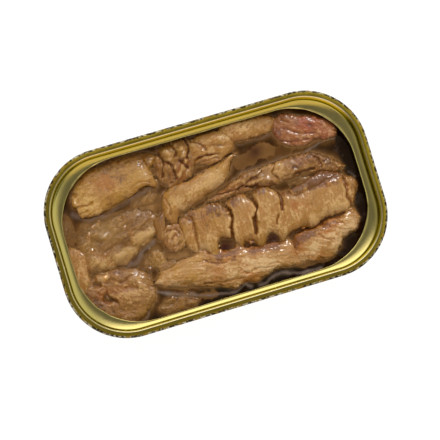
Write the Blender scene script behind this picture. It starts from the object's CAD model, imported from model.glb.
# %% [markdown]
# # An opened tin of fish fillets in brown broth
#
# The real thing is an oblong, gold-lacquered tin with its lid torn off.  It
# holds sixteen pieces of cooked fish that stand in dark broth.  The tin is
# thin sheet metal with exact curves.  The fish is soft, fibrous and split
# into flakes, and the broth is a wet skin between the pieces.
#
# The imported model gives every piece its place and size.  This lesson keeps
# the drawn cup from it, and makes the torn lid, the fish and the broth again
# as fine surfaces worked out with numpy.

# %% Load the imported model
import math

import bpy
import numpy as np
from mathutils import Matrix, Vector


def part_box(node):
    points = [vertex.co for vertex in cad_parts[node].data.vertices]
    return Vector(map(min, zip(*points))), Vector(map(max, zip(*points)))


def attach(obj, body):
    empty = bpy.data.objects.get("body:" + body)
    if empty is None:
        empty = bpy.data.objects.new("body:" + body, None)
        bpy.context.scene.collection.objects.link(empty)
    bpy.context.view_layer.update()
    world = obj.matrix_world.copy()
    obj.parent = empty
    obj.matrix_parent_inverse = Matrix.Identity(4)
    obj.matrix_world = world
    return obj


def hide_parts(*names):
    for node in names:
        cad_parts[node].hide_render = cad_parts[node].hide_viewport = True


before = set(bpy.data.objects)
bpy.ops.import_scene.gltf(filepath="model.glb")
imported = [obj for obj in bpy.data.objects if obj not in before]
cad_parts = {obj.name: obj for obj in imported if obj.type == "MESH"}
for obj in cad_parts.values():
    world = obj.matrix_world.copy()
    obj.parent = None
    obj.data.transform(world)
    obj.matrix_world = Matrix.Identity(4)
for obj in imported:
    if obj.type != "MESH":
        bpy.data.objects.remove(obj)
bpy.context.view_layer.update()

MM = 0.001

# %% [markdown]
# ## Sizes that everything else follows
#
# The tin's outer edge, its top and the surface of the broth come from the
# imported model's boxes, in millimetres.  The numbers that are only about looks
# are named here or beside the piece that uses them.

# %% Read the sizes
_, rim_high = (np.array(corner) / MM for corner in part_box("lid_ring"))
_, cup_high = (np.array(corner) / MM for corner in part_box("can_body"))
_, broth_high = (np.array(corner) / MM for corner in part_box("broth"))
HALF_LENGTH = float(rim_high[0])
HALF_WIDTH = float(rim_high[1])
RIM_TOP = float(rim_high[2])
LEVEL = float(broth_high[2])
CORNER = 20.1
print("tin %.1f x %.1f mm, rim %.1f, cup %.1f, broth %.1f" % (
    2 * HALF_LENGTH, 2 * HALF_WIDTH, RIM_TOP, cup_high[2], LEVEL))

# %% [markdown]
# ## Noise
#
# Nothing in food is smooth or straight, so one noise is used everywhere.  It
# gives each corner of a cubic lattice a number and blends the eight numbers
# round a point.  A plain random number per vertex would be spiky, and would
# change with the mesh; this stays the same field in space whatever mesh reads
# it.  It is worked out for a whole array of points at once.

# %% Lattice noise
def lattice_value(cell, seed):
    """A fixed number in -1..1 for each integer cell: mixed bits of its three indices."""
    mixed = (cell[..., 0] * 374761393 + cell[..., 1] * 668265263
             + cell[..., 2] * 2147483647 + seed * 1274126177) & 0xFFFFFFFF
    mixed = ((mixed ^ (mixed >> 13)) * 1103515245) & 0xFFFFFFFF
    mixed = ((mixed ^ (mixed >> 15)) * 2654435761) & 0xFFFFFFFF
    return (mixed ^ (mixed >> 16)) / 2147483647.5 - 1.0


def noise(points, seed=0):
    """Blend of the eight lattice numbers round a point, with smooth weights 3t^2 - 2t^3."""
    base = np.floor(points).astype(np.int64)
    part = points - base
    part = part * part * (3 - 2 * part)
    total = np.zeros(points.shape[:-1])
    for i in (0, 1):
        for j in (0, 1):
            for k in (0, 1):
                weight = np.ones(points.shape[:-1])
                for axis, side in enumerate((i, j, k)):
                    weight = weight * (part[..., axis] if side else 1 - part[..., axis])
                total += weight * lattice_value(base + np.array((i, j, k)), seed)
    return total


def fractal(points, wavelength, octaves=3, seed=0):
    """Sum of noises, each half as large and half as wide as the last."""
    total = np.zeros(points.shape[:-1])
    for octave in range(octaves):
        scale = 2 ** octave
        total += noise(points * scale / wavelength + 17.3 * octave, seed + octave) / scale
    return total


def smooth_step(low, high, value):
    """0 below low, 1 above high and a smooth S between; low may be the larger one."""
    t = np.clip((value - low) / (high - low), 0, 1)
    return t * t * (3 - 2 * t)


sample = fractal(np.random.default_rng(1).uniform(0, 50, (2000, 3)), 3.0)
print("noise spread %.2f" % sample.std())

# %% [markdown]
# ## From arrays to meshes
#
# Every shape below is a grid of points: rows along the piece, columns round
# or across it.  One helper turns such a grid into a mesh.  A closed form, as
# a fillet, is a stack of rings whose two ends are shut by a fan to one point,
# so it has no open seam.  `foreach_set` hands the arrays over at once, which
# is far quicker than adding faces one by one.

# %% Mesh helpers
def grid_quads(rows, columns, wrap_rows=False, wrap_columns=False):
    """Corner indices of the cells of a grid, optionally joined to its far side."""
    row = np.arange(rows if wrap_rows else rows - 1)[:, None]
    column = np.arange(columns if wrap_columns else columns - 1)[None, :]
    next_row = (row + 1) % rows
    next_column = (column + 1) % columns
    corners = (row * columns + column, next_row * columns + column,
               next_row * columns + next_column, row * columns + next_column)
    whole = [np.broadcast_to(corner, (row.size, column.size)) for corner in corners]
    return np.stack(whole, -1).reshape(-1, 4)


def mesh_object(name, points, quads, triangles=None, fields=None):
    """A smooth-shaded object from points in millimetres, its faces and its named point values."""
    points = np.asarray(points, float).reshape(-1, 3)
    triangles = np.zeros((0, 3), int) if triangles is None else triangles
    loops = np.concatenate([quads.ravel(), triangles.ravel()])
    totals = np.concatenate([np.full(len(quads), 4), np.full(len(triangles), 3)])
    mesh = bpy.data.meshes.new(name)
    mesh.vertices.add(len(points))
    mesh.vertices.foreach_set("co", (points * MM).ravel())
    mesh.loops.add(len(loops))
    mesh.loops.foreach_set("vertex_index", loops.astype(np.int32))
    mesh.polygons.add(len(totals))
    starts = np.concatenate([[0], np.cumsum(totals)[:-1]])
    mesh.polygons.foreach_set("loop_start", starts.astype(np.int32))
    mesh.polygons.foreach_set("loop_total", totals.astype(np.int32))
    mesh.update(calc_edges=True)
    mesh.shade_smooth()
    for field, values in (fields or {}).items():
        layer = mesh.attributes.new(field, "FLOAT", "POINT")
        layer.data.foreach_set("value", np.asarray(values, np.float32).ravel())
    piece = bpy.data.objects.new(name, mesh)
    bpy.context.collection.objects.link(piece)
    return piece


def ring_faces(rings, around):
    """Faces of stacked closed rings, with a fan from each end ring to one more point."""
    quads = grid_quads(rings, around, wrap_columns=True)
    index = np.arange(around)
    after = (index + 1) % around
    first = np.full(around, rings * around)
    last = np.full(around, rings * around + 1)
    base = (rings - 1) * around
    start_fan = np.stack([first, index, after], -1)
    end_fan = np.stack([last, base + after, base + index], -1)
    return quads, np.concatenate([start_fan, end_fan])


print("a grid of 3 x 4 points has", len(grid_quads(3, 4)), "faces")


# %% [markdown]
# ## Curves through a few points
#
# A fillet's outline is drawn by hand with as few points as its shape needs.
# A smooth curve is then passed through them.  Each stretch between two points
# is a cubic whose slopes come from the points beside it, which keeps the
# curve close to the points and free of the overshoot of a global spline.

# %% Smooth curve through points
def curve_through(points, count, side_weight=0.2):
    """Piecewise cubic through the points, at even steps along the line between its ends.

    Steps away from that line count little, so that two outlines with
    different bumps still pair up across the piece.
    """
    points = np.asarray(points, float)
    axis = (points[-1] - points[0]) / np.hypot(*(points[-1] - points[0]))
    steps = np.diff(points, axis=0)
    ahead = steps @ axis
    aside = steps @ np.array([-axis[1], axis[0]])
    length = np.concatenate([[0], np.cumsum(np.hypot(ahead, aside * side_weight) + 1e-3)])
    slopes = np.gradient(points, length, axis=0)
    t = np.linspace(0, length[-1], count)
    cell = np.clip(np.searchsorted(length, t, side="right") - 1, 0, len(points) - 2)
    span = (length[cell + 1] - length[cell])[:, None]
    f = ((t - length[cell])[:, None]) / span
    rise, run = 3 * f ** 2 - 2 * f ** 3, slopes[cell] * span
    start = points[cell] * (2 * f ** 3 - 3 * f ** 2 + 1) + run * (f ** 3 - 2 * f ** 2 + f)
    end = points[cell + 1] * rise + slopes[cell + 1] * span * (f ** 3 - f ** 2)
    return start + end


def distance_to_path(x, y, path):
    """Distance in plan from each point to a path, negative on the path's left."""
    best = np.full(np.shape(x), np.inf)
    path = np.asarray(path, float)
    for (ax, ay), (bx, by) in zip(path[:-1], path[1:]):
        run_x, run_y = bx - ax, by - ay
        t = np.clip(((x - ax) * run_x + (y - ay) * run_y) / (run_x ** 2 + run_y ** 2), 0, 1)
        away = np.hypot(x - ax - t * run_x, y - ay - t * run_y)
        side = np.where((y - ay) * run_x - (x - ax) * run_y > 0, -1, 1)
        best = np.where(away < np.abs(best), away * side, best)
    return best


print("curve of", len(curve_through([(0, 0), (1, 1), (3, 0)], 50)), "points")

# %% [markdown]
# ## One fillet
#
# A piece of cooked fish has a ragged outline, a domed wet top and steep
# sides that go down into the broth.  It could be sculpted, but then nobody
# could see how it was made.  Here it is a function of two parameters: u runs
# from its left end to its right end between two outline curves, and c runs
# across it.  Its section is a rounded square, |c|^p + |h|^p = 1, so h says
# how high the flesh stands at c.  On top of that come its flakes, its splits,
# its fibres and a little noise in every direction.

# %% Relief of the flesh
def box_blur(field, reach):
    """Mean over a square of cells round each cell of a grid, by running sums."""
    for axis in (0, 1):
        beside = [(reach + 1, reach) if k == axis else (0, 0) for k in (0, 1)]
        padded = np.pad(field, beside, mode="edge")
        total = np.cumsum(padded, axis=axis)
        ahead = np.take(total, np.arange(2 * reach + 1, total.shape[axis]), axis=axis)
        behind = np.take(total, np.arange(total.shape[axis] - 2 * reach - 1), axis=axis)
        field = (ahead - behind) / (2 * reach + 1)
    return field


def fibre_noise(points, angle, along, across, seed):
    """Noise stretched along a direction in plan, in degrees, which wanders a little."""
    a = math.radians(angle)
    x, y = points[..., 0], points[..., 1]
    wander = 1.2 * noise(points * 0.12, seed + 3)
    stretched = np.stack([(x * math.cos(a) + y * math.sin(a)) / along,
                          (y * math.cos(a) - x * math.sin(a) + wander) / across,
                          points[..., 2] / across * 0.4], -1)
    return fractal(stretched, 1.0, 3, seed)


def flake_steps(flat, flakes, seed):
    """Relief and crease of a saw wave along a direction: its drop times (part of a step - 1/2)."""
    direction, spacing, drop = flakes
    a = math.radians(direction)
    warp = fractal(flat, 9.0, 3, seed + 40)
    phase = (flat[..., 0] * math.cos(a) + flat[..., 1] * math.sin(a)) / spacing + 0.5 * warp
    saw = phase - np.floor(phase)
    present = smooth_step(-0.7, 0.4, fractal(flat, 8.0, 2, seed + 44))
    return (drop * (saw - 0.5) * smooth_step(0, 0.15, saw) * present,
            0.25 * np.exp(-((saw - 0.06) / 0.10) ** 2) * present)


def split_groove(flat, path, wide, deep, seed):
    """Depth and crease of a torn groove: e^-(distance/width)^2, with a slower slope on one side."""
    wander = 0.3 * fractal(flat, 1.6, 2, seed + 50)
    torn = 0.14 * fractal(flat, 0.8, 2, seed + 51)
    near = distance_to_path(flat[..., 0] + wander + torn, flat[..., 1] - wander + torn, path)
    here = wide * np.clip(0.8 + 0.9 * fractal(flat, 2.4, 2, seed + 52), 0.25, 1.8)
    slope = np.exp(-np.abs(near) / np.where(near > 0, 1.2 + wide, 0.35))
    groove = np.exp(-(near / here) ** 2)
    return deep * (groove + 0.35 * slope), min(deep, 1.1) * (0.8 * groove + 0.3 * slope)


print("flakes, splits and fibres ready")

# %% [markdown]
# ## Section and outline of a fillet
#
# The points of a piece form a grid of rings.  The upper part of each ring is
# the domed top, with most points near the sides, where the surface turns
# fastest.  The lower part is hidden, so it has only a few points.  The same
# function stores what the material needs at each point: how deep the crease
# is, how pale and how red the flesh is, and how much broth it has soaked up.

# %% Fillet surface
FOOT = 3.0          # height of the lowest point of a piece
SINK = 1.0          # how far its sides start below the broth
MESH_STEP = 0.24    # distance between neighbouring points
LOW_POINTS = 12     # points round the hidden lower part of a section
TAPER = 0.3         # how much of its width a piece loses towards its foot
heap_points = []


def fillet(name, left_side, right_side, rise, shoulder=3.2, lean=0.0,
           fibres=(20, 3.0, 0.55, 0.1), flakes=None, splits=(), ridges=(), spots=(), reds=(),
           ragged=0.4, lumps=0.2, skin_side=0.2, seed=1):
    """Closed fillet between two outlines.

    Plan: middle of the two outlines plus c times half their gap.
    Height: side height plus h times the rise there; below the side height the
    piece narrows towards its foot.  rise is read from left to right, in
    millimetres above the broth, and lean lifts the left-hand side.
    fibres is (degrees, length, width, height).  flakes is (degrees, spacing,
    step): a saw wave along that direction.  splits and ridges are (path,
    width, height).  spots are (x, y, radius, strength) of paler or darker
    flesh, and reds the same for redder or yellower flesh.  skin_side is how
    much darker the left-hand side is, which lay nearer the skin.
    """
    ends = np.array([left_side[0], left_side[-1]], float)
    rows = max(int(np.hypot(*(ends[1] - ends[0])) / MESH_STEP), 16)
    left = curve_through(left_side, rows + 2)[1:-1]
    right = curve_through(right_side, rows + 2)[1:-1]
    width = np.hypot(*(left - right).T).max()
    across = max(int(width / MESH_STEP * 1.1), 14)
    c_top = np.sin(np.linspace(-0.5, 0.5, across) * math.pi)
    h_top = (1 - np.abs(c_top) ** shoulder) ** (1 / shoulder)
    low_angle = np.linspace(math.pi / 2, 3 * math.pi / 2, LOW_POINTS)[1:-1]
    c = np.concatenate([c_top, np.sin(low_angle)])
    h = np.concatenate([h_top, np.cos(low_angle)])

    u = (np.arange(rows) + 1) / (rows + 1)
    fullness = (1 - np.abs(2 * u - 1) ** 6) ** 0.4
    rise_curve = np.interp(u, np.linspace(0, 1, len(rise)), rise)
    rise_curve = box_blur(rise_curve[:, None], max(rows // 12, 1))[:, 0]
    side = LEVEL - SINK
    crest = side + (SINK + rise_curve) * fullness
    foot = side - (side - FOOT) * fullness ** 2

    narrow = np.where(h < 0, 1 - TAPER * np.abs(h), 1.0)
    middle = (left + right) / 2
    half = (left - right) / 2
    plan = middle[:, None, :] + half[:, None, :] * (c * narrow)[None, :, None]
    across_plan = np.concatenate([plan, np.zeros(plan.shape[:2] + (1,))], -1)
    gentle = np.exp(0.9 * fractal(across_plan, 7.0, 2, seed + 80))
    up = np.maximum(h, 0)[None, :] ** gentle
    down = np.maximum(-h, 0)[None, :]
    height = side + (crest[:, None] - side) * up - (side - foot[:, None]) * down
    height = height + lean * (c[None, :] * up) * fullness[:, None]

    points = np.concatenate([plan, height[..., None]], -1)
    x, y = points[..., 0], points[..., 1]
    flat = points * np.array([1, 1, 0.3])
    skin = smooth_step(0.0, 0.45, up)

    relief = lumps * (fractal(flat, 8.0, 2, seed) + 0.35 * fractal(flat, 2.6, 3, seed + 9))
    angle, along, wide, high = fibres
    strands = fibre_noise(flat, angle, along, wide, seed + 30)
    relief += high * strands + 0.05 * fractal(points, 0.7, 2, seed + 33)
    crease = np.zeros((rows, len(c)))
    if flakes:
        steps, step_crease = flake_steps(flat, flakes, seed)
        relief += steps
        crease += step_crease
    for path, wide, deep in splits:
        groove, groove_crease = split_groove(flat, path, wide, deep, seed)
        relief -= groove
        crease += groove_crease
    for path, wide, high in ridges:
        wander = 0.25 * fractal(flat, 1.6, 2, seed + 55)
        near = distance_to_path(x + wander, y - wander, path)
        relief += high * np.exp(-np.abs(near / wide) ** 3)
    cavity = box_blur(relief, 4) - relief

    points[..., 2] += relief * skin
    sideways = fractal(flat, 2.4, 3, seed + 21) + 0.5 * strands
    out = np.sign(c)[None, :] * np.abs(c)[None, :] ** 2 * sideways * ragged
    unit = half / np.maximum(np.hypot(*half.T), 1e-6)[:, None]
    points[..., :2] += unit[:, None, :] * (out * fullness[:, None])[..., None]

    tone = 0.95 * fractal(flat, 5.0, 3, seed + 60) + 0.12 * strands - 3.0 * cavity
    tone = tone - skin_side * smooth_step(0.0, 0.9, c)[None, :]
    red = 0.75 * fractal(flat, 4.5, 3, seed + 70)
    for values, marks in ((tone, spots), (red, reds)):
        for mark_x, mark_y, radius, strength in marks:
            values += strength * np.exp(-((x - mark_x) ** 2 + (y - mark_y) ** 2) / radius ** 2)

    ends = np.stack([np.append((left[0] + right[0]) / 2, side),
                     np.append((left[-1] + right[-1]) / 2, side)])
    ends[0, :2] += (np.asarray(left_side[0], float) - ends[0, :2]) * 0.5
    ends[1, :2] += (np.asarray(left_side[-1], float) - ends[1, :2]) * 0.5
    cloud = np.concatenate([points.reshape(-1, 3), ends])
    quads, fans = ring_faces(rows, len(c))
    from_edge = (1 - np.abs(c))[None, :] * np.hypot(*half.T)[:, None]
    reach = np.where(c < 0, 1.3, 0.7)[None, :]
    edge = np.exp(-from_edge / reach) * (0.75 + 0.5 * sideways)
    low = 1 - smooth_step(LEVEL + 0.1, LEVEL + 1.2, points[..., 2])
    soak = np.clip(np.maximum(edge, low), 0, 1)
    fields = {field: np.append(values.ravel(), [at_ends] * 2) for field, values, at_ends in (
        ("crease", crease * skin, 0), ("tone", tone, 0), ("red", red, 0), ("soak", soak, 1))}
    heap_points.append(cloud)
    return mesh_object(name, cloud, quads, fans, fields)


print("pieces are made with a point every", MESH_STEP, "mm")


# %% [markdown]
# ## The sixteen pieces
#
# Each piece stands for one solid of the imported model.  Its two outlines run
# from its left end to its right end, the left-hand side first.  The loins are
# long muscle blocks; cooking has opened splits across the big one in the
# middle.  The pieces on the left lie deeper, so the broth covers them.

# %% Outlines and splits of the loins
FISH = {
    "loin_centre": dict(
        left_side=[(-12.2, -3.2), (-11.9, 0.4), (-9.6, 2.7), (-5, 3.3), (0, 3.7), (2.6, 3.1),
            (3.8, 1.9), (5, 3.3), (8, 4.1), (11, 3.7), (12.4, 2.3), (13.8, 3.9), (17, 4.5),
            (19.8, 3.7), (21.4, 1.8), (24, 1.0), (28, 1.6), (32, 3.0), (36, 3.6), (41, 2.6),
            (44, 0.4), (46.2, -1.8), (46.6, -3.4)],
        right_side=[(-12.2, -3.2), (-11.6, -7), (-9.4, -9.9), (-5.6, -10.8), (-4.2, -13.6),
            (-2.6, -13.6), (-1.8, -9.6), (1.8, -8.7), (3.4, -10.2), (5, -12.8), (6.4, -11.4),
            (8.8, -11.4), (10.4, -13.6), (12.8, -13.2), (14, -11.6), (16.4, -11.8), (17.8, -14.2),
            (20.5, -12.8), (26, -11.8), (29, -12.5), (33, -11.2), (39, -10.8), (42, -10.4),
            (43.4, -8.6), (45.4, -5.4), (46.6, -3.4)],
        rise=(1.5, 1.9, 2.2, 2.3, 2.4, 2.3, 1.7), shoulder=3.0, lean=-0.3,
        fibres=(88, 3.5, 0.6, 0.07), lumps=0.14, skin_side=0.9, seed=3,
        splits=[([(-10, 2.6), (-8, 1.4), (-7.6, -1), (-8, -5), (-8, -9.4)], 0.3, 0.55),
            ([(2.6, 3.6), (3.9, 2), (4.6, 0), (4.9, -3), (3.6, -5.5), (3, -9)], 0.5, 1.5),
            ([(11.6, 3.6), (12.5, 1.5), (13.1, -1), (12.8, -3), (11.5, -5), (10.8, -9.4)], 0.5,
            1.6), ([(19, 4), (21, 1.8), (21.5, -0.6), (21, -4.6)], 0.35, 1.0),
            ([(18.8, -5.6), (18, -8.6)], 0.25, 0.8),
            ([(22, 1.2), (26, -1.6), (34, -0.4), (41, 1)], 0.8, 0.25),
            ([(42.8, -10.8), (42.0, -6), (42.8, -0.6)], 0.5, 0.8)],
        ridges=[([(-10.2, -1), (-10, -6)], 1.4, 0.25), ([(43.3, 0), (42.2, -5)], 0.6, 0.2)],
        spots=[(0, -3, 4, 0.5), (-6, -9, 3, 1.0), (9, -3, 2.5, 0.2), (16.5, -3, 2.5, 0.5),
            (36, -7, 6, 0.6), (26, -8, 4, 0.4), (25, -4.5, 2, -0.7), (16.4, 3, 2.2, -1.0),
            (22, 0.6, 2.6, -1.5), (27, 0.6, 3, -1.6), (32, 1.2, 3, -1.6), (37, 1.6, 3.4, -1.6),
            (42, 0.4, 2.4, -1.2), (-1.6, -7.4, 2.4, 1.1), (-7.6, -9.4, 1.3, 1.0),
            (-5, -12.8, 1.3, 1.0), (24, -10, 2, 0.7), (29, -10.4, 2, 0.8), (34, -9.8, 2, 0.8),
            (38.6, -9.2, 2, 0.9), (7.4, 2.4, 2, -0.7), (45.4, -4, 2.2, -1.6),
            (44.6, -8.4, 1.8, -1.2), (3, -7, 2, 0.2), (41.4, -6, 1.5, 1.0), (41.4, -9.4, 1.2, 0.8),
            (41.8, -2.4, 1.2, 0.6)],
        reds=[(25, -4.8, 2, 1.0), (37, 1.8, 5, 0.5), (12, -9, 2.5, 0.5), (4, -9.5, 2.5, 0.4),
            (45, -5, 3, 0.7), (5, -12.6, 2, -1.2), (12, -12.6, 2, -1.2), (-3.4, -12.6, 2, -1.0)]),
    "loin_centre_top": dict(
        left_side=[(-16.4, 5.5), (-15, 9.7), (-12.2, 12), (-5, 12.8), (0, 14.3), (6, 16.1),
            (10, 17.3), (12.4, 16.8)],
        right_side=[(-16.4, 5.5), (-15.6, 3.5), (-10, 3.8), (-5, 4.8), (0, 6.6), (5, 8.6),
            (7.6, 10.4), (9.9, 14.2), (12.4, 16.8)],
        rise=(1.3, 1.8, 1.9, 1.7, 1.3), shoulder=2.4, fibres=(38, 3.2, 0.5, 0.08),
        flakes=(5, 6.0, 0.12), lumps=0.12, skin_side=0.9, seed=5,
        splits=[([(-14, 9.5), (-13, 6), (-13.6, 4)], 0.3, 0.35), ([(4, 14.5), (8, 16)], 0.3, 0.2)],
        spots=[(3, 11, 5, 0.7), (-11, 7.4, 4, 0.7), (-4, 9, 4, 0.7), (8, 15.4, 2.5, 0.4),
            (-12, 4.4, 2, -0.6), (-6, 5.4, 2, -0.7), (0, 7.2, 2, -0.7), (6, 10, 2, -0.5)],
        reds=[(4, 14, 4, -0.5), (9, 16, 3, -0.6)]),
    "loin_lower_left": dict(
        left_side=[(-25, -15.6), (-22.8, -13), (-20, -11.6), (-15, -10.4), (-10, -9.6), (-5, -9.4),
            (0, -9.8), (5, -10.4), (10, -10.8), (16, -11.4), (20.6, -12.4), (23, -17.6)],
        right_side=[(-25, -15.6), (-22, -17.4), (-18, -18.9), (-14, -20), (-9, -21.2), (-5, -22.1),
            (-3, -23.3), (0, -23.9), (3, -23.5), (6, -24.3), (9, -23.5), (13, -22.4), (16, -22.1),
            (19, -22.8), (22, -22.2), (23, -17.6)],
        rise=(0.8, 1.4, 1.8, 2.0, 1.9, 1.0), shoulder=2.2, lean=-0.35, fibres=(-14, 2.6, 0.6, 0.1),
        flakes=(-35, 9, 0.12), skin_side=0.7, seed=7,
        splits=[([(-22, -13.6), (-12, -12.4), (-6, -13.4)], 0.35, 0.2),
            ([(-8, -12.4), (-5.4, -14.4), (-1, -15.6)], 0.3, 0.4),
            ([(-10, -20), (-4, -21), (3, -21.8)], 0.5, 0.35),
            ([(4, -20.6), (8, -20), (13, -21)], 0.4, 0.3),
            ([(-4.6, -10.2), (-1.6, -10.8), (2.6, -11)], 1.1, 1.6),
            ([(6.2, -12.2), (8.6, -12.4), (11.2, -12.7)], 1.0, 1.6),
            ([(13.4, -12.6), (16, -12.8), (18.6, -13.4)], 1.0, 1.6)],
        spots=[(-2, -17.2, 4.4, 0.8), (12, -18, 4.6, 0.9), (-14, -15, 5, 0.2), (3, -22, 4, -0.5),
            (-18, -12.6, 4, 0.1), (8, -19, 3, 0.4), (-2, -12.4, 2.2, -1.6), (3, -12.8, 2.4, -1.9),
            (8, -13.2, 2.4, -1.9), (12.4, -13.6, 2.4, -1.9), (16.4, -14.2, 2.4, -1.8),
            (20.4, -17.4, 3, -0.7)],
        reds=[(-14, -12.4, 5, -0.7), (-8, -13, 4, -0.5), (4, -21.6, 5, 0.8), (14, -21.6, 4, 0.6),
            (-2, -13, 4, 0.5), (-6, -19.6, 4, 0.4), (8, -13.6, 4, 0.7), (16, -14.4, 4, 0.7),
            (20.6, -18, 2.4, 0.8)]),
    "loin_lower_right": dict(
        left_side=[(19, -18.2), (20.4, -13.6), (25, -10.6), (30, -9.8), (36, -9.2), (40, -8.8),
            (43, -9.8), (44.6, -13.8)],
        right_side=[(19, -18.2), (20.6, -22.6), (24, -24), (28, -24.4), (31, -24), (33.6, -22.8),
            (35.4, -21), (36.8, -18.9), (39, -17.6), (41.8, -17.4), (44.6, -13.8)],
        rise=(0.5, 1.8, 2.1, 1.6, 1.0), shoulder=2.2, lean=-0.2, fibres=(-30, 2.4, 0.55, 0.09),
        flakes=(-60, 8, 0.12), seed=8,
        splits=[([(29.6, -15.4), (31, -17.2), (34, -18.4)], 0.25, 0.35),
            ([(37, -12.6), (38.6, -15)], 0.25, 0.3),
            ([(19, -13.8), (23, -12.6), (28, -12.2), (33, -11.2), (40, -10.8)], 1.0, 1.4)],
        spots=[(29, -18.4, 4.6, 1.0), (38, -15.4, 4, 0.8), (27, -22.6, 4, -0.4),
            (21.4, -17.4, 2.6, -0.7), (21.6, -14.8, 2.6, -2), (25.4, -14, 2.8, -2.2),
            (29.4, -13.6, 2.8, -2.2), (33, -12.8, 2.6, -2), (37, -12.2, 2.2, -1.6)],
        reds=[(22, -17.6, 2.6, 0.9), (28, -22.8, 4, 0.7), (34, -13.4, 4, 0.7), (26, -14, 4, 0.8)]),
    "loin_strip_right": dict(
        left_side=[(-2, 4.6), (3, 6.4), (8, 8.7), (12, 9.9), (18, 10.2), (24, 10.8), (30, 10.8),
            (36, 10), (40, 7.6), (43.2, 4.8), (44.6, 3.2)],
        right_side=[(-2, 4.6), (3, 4.1), (8, 4.1), (14, 4), (22, 3.9), (30, 3.8), (36, 3.4),
            (41, 2.2), (44.6, 3.2)],
        rise=(0.5, 0.9, 1.3, 1.5, 1.4, 1.2, 0.7), shoulder=2.8, fibres=(40, 1.5, 0.5, 0.14),
        lumps=0.5, ragged=0.4, seed=11,
        splits=[([(28.4, 5.4), (31, 5), (34.6, 5.2)], 0.6, 1.2),
            ([(12.0, 5.6), (14.8, 5.0)], 0.6, 1.3), ([(2, 6), (6, 5.6), (11.4, 6)], 0.3, 0.7),
            ([(9, 5.4), (14.2, 7.4), (18, 8.6)], 0.35, 0.7),
            ([(22, 9.6), (21, 7.4), (22.6, 5)], 0.3, 0.6), ([(36, 8.6), (37, 5)], 0.4, 0.6)],
        ridges=[([(14.6, 6.2), (18, 6.4), (21, 5)], 0.8, 0.5), ([(7, 7.2), (12, 8.4)], 0.6, 0.3),
            ([(26.4, 4.6), (28.4, 6)], 0.8, 0.5), ([(40.6, 5.6), (42.6, 3.8)], 0.7, 0.4)],
        spots=[(12, 8, 3, 0.3), (36, 6, 5, -0.4), (18, 6, 2, 0.7), (28, 8.6, 4, -0.3),
            (5, 5.4, 4, -0.3), (23, 6, 2.4, 1.0)],
        reds=[(6, 6, 4, 0.4), (34, 6, 5, 0.2)]),
    "loin_upper_left": dict(
        left_side=[(-42.2, 17), (-41.8, 19.4), (-41, 21.2), (-39.4, 23.4), (-35, 25.2), (-29, 26),
            (-22, 26.2), (-17, 25.8), (-13.6, 24.4), (-12.6, 23)],
        right_side=[(-42.2, 17), (-42.5, 14.8), (-41.4, 13.6), (-41.2, 12), (-39, 10.6),
            (-36, 10.4), (-31, 11), (-26, 12.2), (-22, 13.8), (-18.6, 14.8), (-15.2, 16),
            (-15.8, 18.4), (-14.6, 20.4), (-12.6, 23)],
        rise=(1.5, 1.7, 1.6, 1.3, 1.0), shoulder=2.9, lean=-1.5, fibres=(12, 2.6, 0.5, 0.08),
        flakes=(70, 9, 0.08), lumps=0.16, seed=13,
        splits=[([(-42, 14.4), (-38.5, 14.2), (-36.5, 14.6)], 0.4, 0.5),
            ([(-42, 18.6), (-39.4, 18)], 0.4, 0.35), ([(-41, 12.2), (-38, 12.6)], 0.3, 0.3),
            ([(-24, 15.2), (-20, 16.2), (-17, 15.8)], 0.3, 0.2)],
        spots=[(-28, 20, 3.5, -0.4), (-38, 15, 4, 0.5), (-26, 15.5, 3, 0.7), (-21, 17.4, 3, 0.2),
            (-24, 23.6, 6, -0.8), (-36, 22.6, 4, -0.3), (-17, 24, 4, -0.5)],
        reds=[(-29, 19.4, 3.2, 1.4), (-33, 18, 4, 0.5), (-21, 18, 4, -0.8), (-38, 16, 5, -0.5)]),
}
print("outlines for", len(FISH), "pieces")

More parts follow.
